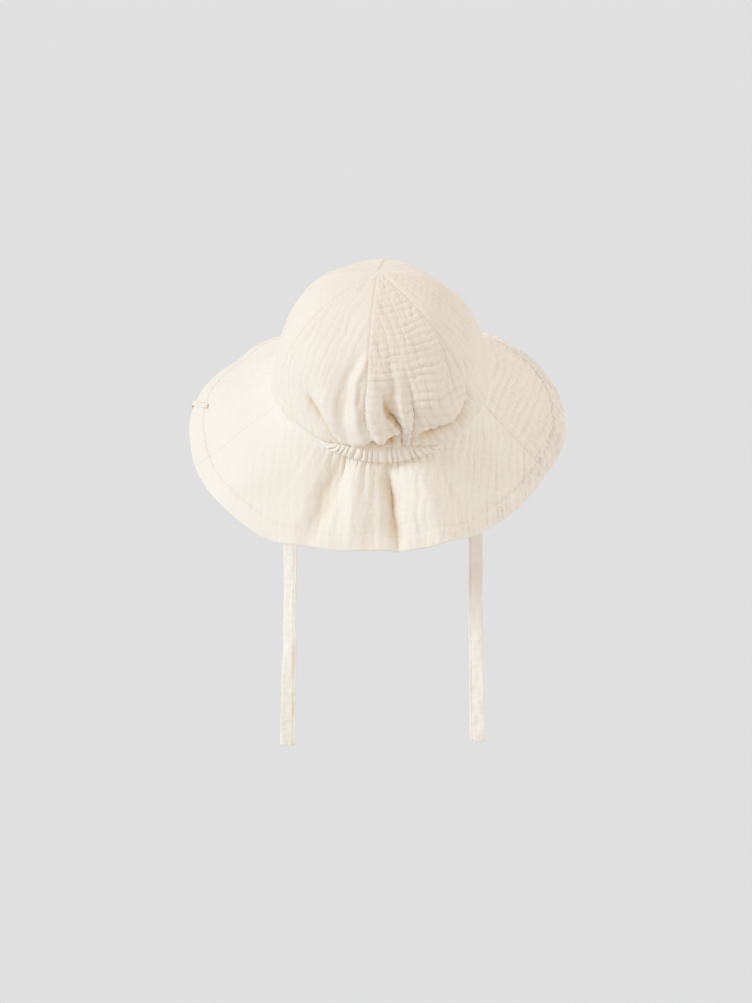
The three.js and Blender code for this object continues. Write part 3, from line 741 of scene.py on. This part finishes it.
def edge_dip(azimuth, distance, dip):
    """Dip in mm along the seam between crown and brim, shallow where the cloth is pulled smooth."""
    depth, width = dip
    return depth * (1 - EDGE_DIP_FILL * smooth_side(azimuth)) * bell(distance, width)


def allowance(from_left):
    """Where a seam's allowance shows through the cloth, from 0 to 1."""
    inside = 1 - smooth_step(ALLOWANCE_WIDTH - 1, ALLOWANCE_WIDTH, from_left)
    return smooth_step(0.6, 1.6, from_left) * inside


def places_across(breadth, spacing):
    """Shares of a piece's breadth, with its tongue below 0."""
    return np.concatenate([[-TONGUE / breadth], np.linspace(0, 1, round(breadth / spacing) + 1)])


def crown_panel(index, name, seed, columns_high, rows_high, spacing, material):
    """One panel of the crown, from the apex to its lower edge."""
    rows = round(CROWN_ARC / spacing) + 1
    places = places_across(OPENING_WIDTH / 2 * PANEL_ANGLE * DEG, spacing)
    share = np.linspace(CROWN_TIP / CROWN_ARC, 1, rows)[:, None] + 0 * places
    place = places + 0 * share
    azimuth = index * PANEL_ANGLE + crown_twist(share) + place * PANEL_ANGLE
    middle, painted_shade = crown_surface(azimuth, share)

    breadth = np.sin(share * math.pi / 2) * OPENING_WIDTH / 2 * PANEL_ANGLE * DEG
    from_left, from_right = place * breadth, (1 - place) * breadth
    from_edge = np.minimum(from_left, from_right)
    from_bottom = (1 - share) * CROWN_ARC
    across, grain = (place - 0.5) * breadth, share * CROWN_ARC

    wrinkles, pinched = crinkle(across + PATTERN_STEP * index, grain, seed, columns_high, rows_high)
    flat = smooth_step(0, 3, from_edge) * smooth_step(0, 3, from_bottom)
    near_tip = smooth_step(*TIP_FADE, share)
    seen = 1 - SEAM_DIP_FILL * smooth_side(azimuth)
    nape = nape_share(azimuth, 60) * smooth_step(*NAPE_GROWTH, share)
    dip = bell(from_left, SEAM_DIP_WIDTH) + bell(from_right, SEAM_DIP_WIDTH)
    pucker = PUCKER_HEIGHT * np.sin(grain * 2 * math.pi / PUCKER_PITCH) * np.exp(-from_edge / 2)
    bumps = wrinkles * flat - edge_dip(azimuth, from_bottom, CROWN_EDGE_DIP)
    bumps += near_tip * (pucker + ALLOWANCE_HEIGHT * allowance(from_left) - SEAM_DIP * seen * dip)
    bumps -= TONGUE_SINK * (place < 0)
    bumps += 0.6 * nape * noise(azimuth * 1.3 / 5.5, grain / 34, 303)
    bumps += 0.9 * gather_ripples(azimuth, from_bottom, 4) + seam_fill(azimuth, from_bottom)
    bumps += wobble(middle, 0.9) * smooth_step(0.05, 0.3, share) * smooth_step(0, 12, from_bottom)
    # Painted shade in the pinches of the crinkles, along the seam dips and just above the casing's gathers
    painted_shade = painted_shade + 0.2 * pinched * flat + 0.1 * dip * near_tip
    painted_shade += 0.35 * nape * np.exp(-from_bottom / 2)
    cloth = Cloth(middle, bumps, WALL, np.stack([across, grain], -1), painted_shade)
    return dress(cloth.object(name + "_cloth", material), "muslin", name)


def brim_shares():
    """Rows of the brim, close together at the stitched line and at the rounded edge."""
    hem = 1 - HEM_WIDTH / BRIM_WIDTH
    rows = round(BRIM_WIDTH / BRIM_SPACING)
    even = np.linspace(0, 1 - 2.0 / BRIM_WIDTH, rows)
    line = hem + np.array([-0.6, -0.3, 0, 0.3, 0.6]) / BRIM_WIDTH
    edge = 1 - np.array([1.4, 0.9, 0.5, 0.25, 0.08, 0]) / BRIM_WIDTH
    away = even[np.abs(even - hem) > 0.9 / BRIM_WIDTH]
    return np.sort(np.concatenate([away, line, edge]))


def hem_ribs(azimuth, around, from_edge, off_grain):
    """Small ribs of the double hem in mm, higher where its edge runs off the grain."""
    rib = noise(azimuth * around / 2.1, from_edge / 30, 304)
    return (0.2 + 0.36 * off_grain) * rib * np.exp(-np.abs(from_edge - HEM_WIDTH * 0.55) / HEM_WIDTH)


def brim_piece(name, first, last, seed, columns_high, rows_high, material):
    """One piece of the brim with its hem, and the shares of the brim's width at its rows."""
    shares = brim_shares()
    places = places_across((last - first) * DEG * (OPENING_WIDTH / 2 + BRIM_WIDTH * 0.85), BRIM_SPACING)
    share = shares[:, None] + 0 * places
    place = places + 0 * share
    around = (OPENING_WIDTH / 2 + share * BRIM_WIDTH * 0.8) * DEG
    azimuth = first + place * (last - first)
    middle, painted_shade = brim_surface(azimuth, share)

    breadth = around * (last - first)
    from_left, from_seam = place * breadth, np.minimum(place, 1 - place) * breadth
    from_crown, from_edge = share * BRIM_WIDTH, (1 - share) * BRIM_WIDTH
    # the flat pattern of the brim is part of a ring, with the grain along its middle
    pattern_angle = (azimuth - (first + last) / 2) * BRIM_CONE * DEG
    pattern_radius = OPENING_WIDTH / 2 / BRIM_CONE + from_crown
    across, grain = pattern_radius * np.sin(pattern_angle), pattern_radius * np.cos(pattern_angle)

    hem = smooth_step(HEM_WIDTH + HEM_STEP, HEM_WIDTH - HEM_STEP, from_edge)
    wrinkles, pinched = crinkle(across, grain, seed, columns_high, rows_high)
    side = 1.12 + 0.78 * np.sin(azimuth * DEG)
    clear = smooth_step(0, 3, from_seam)
    flat = side * clear * smooth_step(0, 4, from_crown) * (1 - 0.4 * hem)
    off_grain = np.abs(np.sin(pattern_angle)) ** 0.5
    seen = smooth_step(-0.9, 0.8, np.sin(azimuth * DEG))
    dip = seen * bell(from_seam, SEAM_DIP_WIDTH)
    nape = nape_share(azimuth, 50)
    long_pleats = nape * noise(azimuth / 2.6, from_crown / 70, 308) * np.exp(-from_crown / 60)
    bumps = wrinkles * flat + side * clear * hem_ribs(azimuth, around, from_edge, off_grain)
    bumps -= HEM_GROOVE * (0.3 + 0.7 * seen) * bell(from_edge - HEM_WIDTH, HEM_GROOVE_WIDTH)
    bumps += ALLOWANCE_HEIGHT * seen * allowance(from_left) - SEAM_DIP * dip
    bumps -= edge_dip(azimuth, from_crown, BRIM_EDGE_DIP) + TONGUE_SINK * (place < 0)
    bumps += 1.3 * gather_ripples(azimuth, from_crown, 6) + 0.9 * long_pleats
    bumps += seam_fill(azimuth, from_crown) + wobble(middle, 1.3) * smooth_step(0, 45, from_crown)
    # Painted shade in the pinches of the crinkles, along the seam dips and just below the casing's gathers
    painted_shade = painted_shade + 0.22 * pinched * flat + 0.15 * dip + 0.2 * nape * np.exp(-from_crown / 2)

    wall = WALL + (HEM_WALL - WALL) * hem
    short = 1 - np.minimum(from_edge, EDGE_ROUNDING) / EDGE_ROUNDING
    rounded = np.sqrt(np.clip(1 - short**2, 0.01, 1))
    cloth = Cloth(middle, bumps, wall * rounded, np.stack([across, grain], -1), painted_shade)
    dress(cloth.object(name + "_cloth", material), "muslin", name)
    return cloth, shares


def nape_casing(material):
    """The gathered channel of the elastic: pleats that fan out a little, pinched at both sewn edges."""
    place = np.linspace(-1, 1, CASING_COLUMNS)[None, :] + np.zeros((CASING_ROWS, 1))
    high = np.linspace(1, 0, CASING_ROWS)[:, None] + np.zeros(CASING_COLUMNS)
    azimuth = CASING_HALF_ANGLE * place
    pleated = smooth_step(1.04, 0.94, np.abs(place) / CASING_COVER)
    top = crown_edge_height(azimuth) + CASING_OVERLAP
    bottom = brim_edge_height(azimuth) - CASING_OVERLAP
    crest = np.abs(np.cos(pleat_phase(place / CASING_COVER, high))) ** PLEAT_POWER
    crest = 1 - (1 - crest) * pleated
    uneven = 1 + 0.7 * noise(place * 8, high * 0.7 + 3, 306)
    belly = (4 * high * (1 - high)) ** 0.6
    end = smooth_step(1, 0.78, np.abs(place))
    out = belly * (CASING_BULGE * (0.1 + 0.9 * end) + PLEAT_DEPTH * pleated * uneven * (crest - 0.7))
    lines = sum(bell(high - line, CASING_LINE_WIDTH) for line in CASING_LINES)
    tucked = 1.3 * (1 - smooth_step(0, 0.16, high) * (1 - smooth_step(0.84, 1, high)))
    radius = opening_radius(azimuth) + WALL / 2 + out - CASING_LINE_DEPTH * pleated * lines - tucked
    front = around_axis(azimuth, radius, bottom + high * (top - bottom))
    back_radius = np.minimum(opening_radius(azimuth) - WALL / 2 - 0.35 * out, radius - 0.8)
    back = around_axis(azimuth, back_radius, bottom + high * (top - bottom))
    pattern = np.stack([azimuth * DEG * OPENING_WIDTH, high * CASING_HEIGHT], -1)
    # Painted shade in the grooves between the pleats and where the casing is pinched at its edges
    painted_shade = np.clip(1.0 - 1.7 * crest, 0, 1) * 0.28 + 0.1 * (1 - belly) * pleated
    thing = make_sheet("nape_casing_cloth", front, back, pattern, painted_shade, material)
    return dress(thing, "casing", "nape_casing")


def tie_start(side):
    """Sewn end of a tie inside the seam, in mm in the frame of the worn hat."""
    azimuth = TIE_AZIMUTH_RIGHT if side > 0 else TIE_AZIMUTH_LEFT
    corner = around_axis(azimuth, opening_radius(azimuth) - 0.8 - SEAM_GAP, 0.0)
    start = np.array([side * (corner[0] - TIE_WIDTH / 2), corner[1] + 2.0, TIE_TOP])
    return worn(start) / MM


def tie_line(side, steps):
    """Points along a tie's middle line in mm, on a smooth curve through its route."""
    start = tie_start(side)
    route = np.array(TIE_ROUTE, float)
    reach = np.linspace(0, 1, len(route))
    fine = np.linspace(0, 1, steps)
    curve = []
    for column in (0, 1):
        values = route[:, column]
        slopes = np.gradient(values, reach)
        index = np.clip(np.searchsorted(reach, fine, side="right") - 1, 0, len(route) - 2)
        span = reach[index + 1] - reach[index]
        place = (fine - reach[index]) / span
        curve.append(
            (2 * place**3 - 3 * place**2 + 1) * values[index]
            + (place**3 - 2 * place**2 + place) * span * slopes[index]
            + (3 * place**2 - 2 * place**3) * values[index + 1]
            + (place**3 - place**2) * span * slopes[index + 1]
        )
    out, down = curve
    return start + np.stack([side * out, 0 * out, -down], -1)


def tie_turn(side, share):
    """Turn of a tie's flat tube along its length in radians, smoothed over the table's corners."""
    turns = np.array(TIE_TURNS[side], float)
    turn = np.interp(share, turns[:, 0], turns[:, 1])
    kernel = np.hanning(TURN_SMOOTHING) / np.hanning(TURN_SMOOTHING).sum()
    return np.convolve(np.pad(turn, TURN_SMOOTHING // 2, mode="edge"), kernel, mode="valid") * DEG


def tie_section(side, share):
    """The flat tube along its length: places across and through it in mm, and its painted shade."""
    length = share * TIE_ROUTE[-1][1]
    from_end = (TIE_ROUTE[-1][1] - length)[:, None]
    widen = 1 + 0.05 * smooth_step(0.6, 1, share) + 0.035 * noise(length / 15, 0 * length, 401 + side)
    rounded = np.clip(from_end / TIE_END_ROUNDING, 0, 1)
    half_width = TIE_WIDTH / 2 * widen[:, None] * (0.9 + 0.1 * np.sqrt(1 - (1 - rounded) ** 2))
    around = np.linspace(0, 2 * math.pi, TIE_SIDES, endpoint=False)[None, :]
    x = np.sign(np.cos(around)) * np.abs(np.cos(around)) ** 0.8 * half_width
    thick = np.sign(np.sin(around)) * np.abs(np.sin(around)) ** 0.6
    # a sewn edge on one side, a folded one on the other, cross puckers, and a turned-in end
    seam_line = bell(side * x + half_width - TIE_SEAM_INSET, 0.5)
    down = length[:, None] + 0 * x
    pucker = 0.34 * noise(down / 2.6, x / 5, 402 + side)
    pucker = pucker + 0.5 * noise(down / 11, x / 4, 404 + side)
    end_fold = 0.25 * smooth_step(TIE_END_FOLD + 1, TIE_END_FOLD, from_end)
    end_line = 0.3 * bell(from_end - TIE_END_FOLD, 0.6)
    bow = 1.3 * noise(down / 30, 0 * x, 406 + side) * (x / half_width) ** 2
    y = thick * (TIE_THICKNESS / 2 + end_fold - end_line - 0.45 * seam_line) + pucker + bow
    # Painted shade along the sewn line and in the hollows of the puckers
    return x, y, down, np.clip(0.4 * seam_line - 0.15 * pucker, 0, 1)


def tie_cloth(name, side, material):
    """A tie as a flat closed tube along its line."""
    line = tie_line(side, TIE_STEPS)
    share = np.linspace(0, 1, TIE_STEPS)
    x, y, down, painted_shade = tie_section(side, share)
    turn = tie_turn(side, share)[:, None]
    right = x * np.cos(turn) - y * np.sin(turn)
    ahead = x * np.sin(turn) + y * np.cos(turn)
    points = line[:, None] + np.stack([right, ahead, 0 * x], -1)
    index = np.arange(TIE_STEPS * TIE_SIDES).reshape(TIE_STEPS, TIE_SIDES)
    following = np.roll(index, -1, axis=1)
    quads = np.stack([index[:-1], index[1:], following[1:], following[:-1]], -1).reshape(-1, 4)
    faces = quads.tolist() + [index[0].tolist(), index[-1][::-1].tolist()]
    thing = make_object(name, points * MM, faces, material, np.stack([x, down], -1) * MM, len(quads))
    add_painted_shade(thing, painted_shade.ravel())
    node = "tie_right" if side > 0 else "tie_left"
    dress(thing, "tie", node)
    return thing


def set_inputs(node, values):
    for name, value in values.items():
        node.inputs[name].default_value = value


def cloth_material(name, colour, shade, weave_depth=MUSLIN_WEAVE):
    """Matt muslin: two layers of plain weave seen from nearby, uneven cream colour, warm painted shade in
    hollows, soft fuzz.
    """
    material = bpy.data.materials.new(name)
    material.use_nodes = True
    nodes, links = material.node_tree.nodes, material.node_tree.links
    shader = nodes["Principled BSDF"]
    set_inputs(shader, CLOTH_FINISH)
    pattern = nodes.new("ShaderNodeUVMap")
    pattern.uv_map = "pattern"

    def texture(kind, values):
        made = nodes.new(kind)
        set_inputs(made, values)
        links.new(pattern.outputs["UV"], made.inputs["Vector"])
        return made

    def threads(direction):
        made = texture("ShaderNodeTexWave", THREADS)
        made.wave_type = "BANDS"
        made.bands_direction = direction
        return made

    def total(first, second):
        made = nodes.new("ShaderNodeMath")
        made.operation = "ADD"
        links.new(first, made.inputs[0])
        links.new(second, made.inputs[1])
        return made.outputs["Value"]

    patches = texture("ShaderNodeTexNoise", PATCHES)
    blend = nodes.new("ShaderNodeMix")
    blend.data_type = "RGBA"
    set_inputs(blend, {"A": (*colour, 1), "B": (*shade, 1)})
    ramp = nodes.new("ShaderNodeMapRange")
    set_inputs(ramp, {"From Min": 0.35, "From Max": 0.75})
    links.new(patches.outputs["Fac"], ramp.inputs["Value"])
    links.new(ramp.outputs["Result"], blend.inputs["Factor"])
    # Warm painted shade, mixed into the colour by each point's share of it
    painted_shade = nodes.new("ShaderNodeAttribute")
    painted_shade.attribute_name = "painted_shade"
    fold = nodes.new("ShaderNodeMix")
    fold.data_type = "RGBA"
    set_inputs(fold, {"B": (*PAINTED_SHADE_COLOUR, 1)})
    links.new(blend.outputs["Result"], fold.inputs["A"])
    links.new(painted_shade.outputs["Fac"], fold.inputs["Factor"])
    links.new(fold.outputs["Result"], shader.inputs["Base Color"])

    weave = total(threads("X").outputs["Fac"], threads("Y").outputs["Fac"])
    fuzz = texture("ShaderNodeTexNoise", FUZZ)
    bump = nodes.new("ShaderNodeBump")
    set_inputs(bump, {"Strength": 0.5, "Distance": weave_depth * MM})
    links.new(total(weave, fuzz.outputs["Fac"]), bump.inputs["Height"])
    links.new(bump.outputs["Normal"], shader.inputs["Normal"])
    return material


def stitches(name, points, normals, along, material):
    """Short thread stitches as one mesh, each lying on the cloth at a point."""
    side = np.cross(normals, along)
    vertices = []
    for place, girth in STITCH_RINGS:
        centre = points + along * place * STITCH_LENGTH + normals * STITCH_RADIUS * (0.5 * girth - 0.2)
        for corner in range(STITCH_SIDES):
            turn = corner * 2 * math.pi / STITCH_SIDES
            offset = side * math.cos(turn) + normals * math.sin(turn)
            vertices.append(centre + offset * STITCH_RADIUS * girth)
    index = np.arange(len(points) * len(vertices)).reshape(len(points), len(STITCH_RINGS), STITCH_SIDES)
    following = np.roll(index, -1, axis=2)
    quads = np.stack([index[:, :-1], following[:, :-1], following[:, 1:], index[:, 1:]], -1)
    ends = np.stack([index[:, 0, ::-1], index[:, -1]], 1).reshape(-1, STITCH_SIDES)
    faces = quads.reshape(-1, 4).tolist() + ends.tolist()
    return make_object(name, worn(np.stack(vertices, 1)), faces, material)


def along_line(places, reach, values):
    """Points or directions of a line at the given distances along it."""
    return np.stack([np.interp(places, reach, values[:, axis]) for axis in range(3)], -1)


def hem_stitches(name, cloth, shares, material):
    """The stitched line of the hem, on the brim's upper and under side."""
    hem = 1 - HEM_WIDTH / BRIM_WIDTH
    row = int(np.argmin(np.abs(shares - hem)))
    for face, points, sign in (("top", cloth.outer[row], 1), ("under", cloth.inner[row], -1)):
        steps = np.linalg.norm(np.diff(points, axis=0), axis=1)
        reach = np.concatenate([[0], np.cumsum(steps)])
        count = int(reach[-1] / STITCH_PITCH)
        places = (np.arange(count) + 0.5) * reach[-1] / count
        spots = along_line(places, reach, points)
        normals = along_line(places, reach, sign * cloth.normals[row])
        along = along_line(places + 0.8, reach, points) - spots
        along /= np.linalg.norm(along, axis=1, keepdims=True)
        thing = stitches(f"{name}_{face}", spots, normals, along, material)
        dress(thing, "muslin")


def edge_tab(cloth, shares, first, last, material):
    """A blank woven tape, folded over the brim's edge and sewn flat on the hem's two faces."""
    half_turn = 180.0
    stations = [(1 - place * TAB_LENGTH / BRIM_WIDTH, 0.0) for place in np.linspace(1, 0.02, 44)]
    stations += [(1.0, turn) for turn in np.linspace(0, half_turn, 9)]
    stations += [(1 - place * TAB_UNDER / BRIM_WIDTH, half_turn) for place in np.linspace(0.05, 1, 14)]
    share, turn = np.array(stations).T
    across = np.linspace(-1, 1, TAB_COLUMNS)[None, :] + np.zeros((len(stations), 1))
    half_angle = TAB_WIDTH / 2 / (OPENING_WIDTH / 2 + BRIM_WIDTH) / DEG
    slant = TAB_SLANT * ((1 - share) * BRIM_WIDTH / TAB_LENGTH - 0.5)
    azimuth = 360 + TAB_AZIMUTH + slant[:, None] + half_angle * across
    row = np.interp(share, shares, np.arange(len(shares)))[:, None] + 0 * across
    column = 1 + (azimuth - first) / (last - first) * (cloth.outer.shape[1] - 2)
    middle = between_points((cloth.outer + cloth.inner) / 2, row, column)
    up = between_points(cloth.normals, row, column)
    outward = around_axis(azimuth, np.ones_like(azimuth), 0.0)
    outward -= up * (outward * up).sum(-1, keepdims=True)
    outward /= np.linalg.norm(outward, axis=-1, keepdims=True)
    angle = turn[:, None, None] * DEG
    away = up * np.cos(angle) + outward * np.sin(angle)
    reach = np.linspace(0, 1, len(stations))[:, None]
    ripple = 0.10 * noise(across * 2.2, reach * 14, 501) + 0.25 * bell(1 - np.abs(across), 0.12)
    stitch = bell(reach - 0.07 + 0.02 * across, 0.014) * (np.abs(across) < 0.6)
    upper_edge = smooth_step(-0.55, -0.9, across) * smooth_step(0.14, 0.22, reach) * (reach < 0.5)
    second_line = bell(across - 0.05, 0.2) * smooth_step(0.28, 0.36, reach) * (reach < 0.5)
    sewn = TAB_SEWN_DEPTH * np.clip(stitch + upper_edge + 0.6 * second_line, 0, 1)
    rise = HEM_WALL / 2 + TAB_LIFT + ripple - sewn
    outer = middle + away * (rise + TAB_THICKNESS)[..., None]
    inner = middle + away * (rise - TAB_OVERLAP)[..., None]
    pattern = np.stack([across * TAB_WIDTH / 2, reach * (TAB_LENGTH + TAB_UNDER) + 0 * across], -1)
    # Darker warm colour along the sewn lines, and painted shade along the tape's upper edge where it folds
    thing = make_sheet("edge_tab_tape", outer, inner, pattern, 3.3 * sewn, material, inner_painted_shade=1)
    return dress(thing, "tape", "edge_tab")


def camera():
    """Stands where the photograph's camera stood, with the photograph's frame."""
    data = bpy.data.cameras.new("camera")
    width, height = IMAGE_SIZE
    focal_pixels = PIXELS_PER_MM * CAMERA_DISTANCE
    data.sensor_fit = "HORIZONTAL"
    data.sensor_width = SENSOR_WIDTH
    data.lens = focal_pixels * SENSOR_WIDTH / width
    data.clip_end = CLIP_END
    elevation = CAMERA_ELEVATION * DEG
    pitch = elevation + math.atan((height / 2 - ORIGIN_PIXEL[1]) / focal_pixels)
    aside = -(ORIGIN_PIXEL[0] - width / 2) / PIXELS_PER_MM
    place = Vector((aside, -CAMERA_DISTANCE * math.cos(elevation), CAMERA_DISTANCE * math.sin(elevation)))
    thing = add_object("camera", data)
    thing.location = place * MM
    thing.rotation_euler = (math.pi / 2 - pitch, 0, 0)
    bpy.context.scene.camera = thing


def plain_material(name, colour):
    material = bpy.data.materials.new(name)
    material.use_nodes = True
    shader = material.node_tree.nodes["Principled BSDF"]
    set_inputs(shader, {"Base Color": (*colour, 1), "Roughness": 1.0, "Specular IOR Level": 0.0})
    return material


def floor_colour():
    """The floor's colour that comes out as the backdrop's neutral tone under the studio light."""
    light = np.array(FILL_LIGHT)
    for _, _, elevation, strength, colour, _ in SUNS:
        light += np.array(colour) * strength * math.sin(elevation * DEG) / math.pi
    return tuple(float(value) for value in BACKDROP_TONE / light)


def studio():
    """A wide pale floor far below the held hat, a soft key from the upper left, and even fill."""
    corners = np.array([(-1, -1), (1, -1), (1, 1), (-1, 1)]) * FLOOR_HALF_SIZE
    vertices = np.column_stack([corners, np.full(len(corners), FLOOR_HEIGHT)])
    floor = make_object("floor", vertices, [(0, 1, 2, 3)], plain_material("floor", floor_colour()))

    world = bpy.data.worlds.new("world")
    world.use_nodes = True
    world.node_tree.nodes["Background"].inputs["Color"].default_value = (*FILL_LIGHT, 1)
    bpy.context.scene.world = world

    for name, azimuth, elevation, strength, colour, softness in SUNS:
        data = bpy.data.lights.new(name, "SUN")
        data.energy = strength
        data.color = colour
        data.angle = softness * DEG
        toward = Vector((
            math.cos(elevation * DEG) * math.sin(azimuth * DEG),
            -math.cos(elevation * DEG) * math.cos(azimuth * DEG),
            math.sin(elevation * DEG),
        ))
        add_object(name, data).rotation_euler = toward.to_track_quat("Z", "Y").to_euler()


bpy.context.scene.view_settings.view_transform = "Standard"
camera()
tie_muslin = cloth_material("tie_muslin", TIE_PAINTED_LIGHT_COLOUR, TIE_PAINTED_LIGHT_PATCH, TIE_WEAVE)
tie_cloth("tie_right_cloth", 1, tie_muslin)
tie_cloth("tie_left_cloth", -1, tie_muslin)

crown_muslin = cloth_material("crown_muslin", CROWN_COLOUR, CROWN_SHADE)
brim_muslin = cloth_material("brim_muslin", BRIM_PAINTED_LIGHT_COLOUR, BRIM_PAINTED_LIGHT_PATCH)
casing_muslin = cloth_material("casing_muslin", BRIM_PAINTED_LIGHT_COLOUR, BRIM_PAINTED_LIGHT_PATCH)
tape = cloth_material("tape", TAPE_COLOUR, TAPE_COLOUR, TAPE_WEAVE)
thread = plain_material("thread", BRIM_PAINTED_LIGHT_COLOUR)
painted_shade_right_muslin = cloth_material("painted_shade_right_muslin", SHADED_RIGHT_COLOUR, SHADED_RIGHT_PATCH)
for number, row in enumerate(CROWN_CLOTHS):
    crown_panel(number, *row, painted_shade_right_muslin if number in SHADED_RIGHT_PANELS else crown_muslin)
for row in BRIM_CLOTHS:
    brim_cloth, brim_rows = brim_piece(*row, brim_muslin)
    hem_stitches(row[0] + "_hem_stitches", brim_cloth, brim_rows, thread)
edge_tab(brim_cloth, brim_rows, *BRIM_CLOTHS[1][1:3], tape)
nape_casing(casing_muslin)
studio()
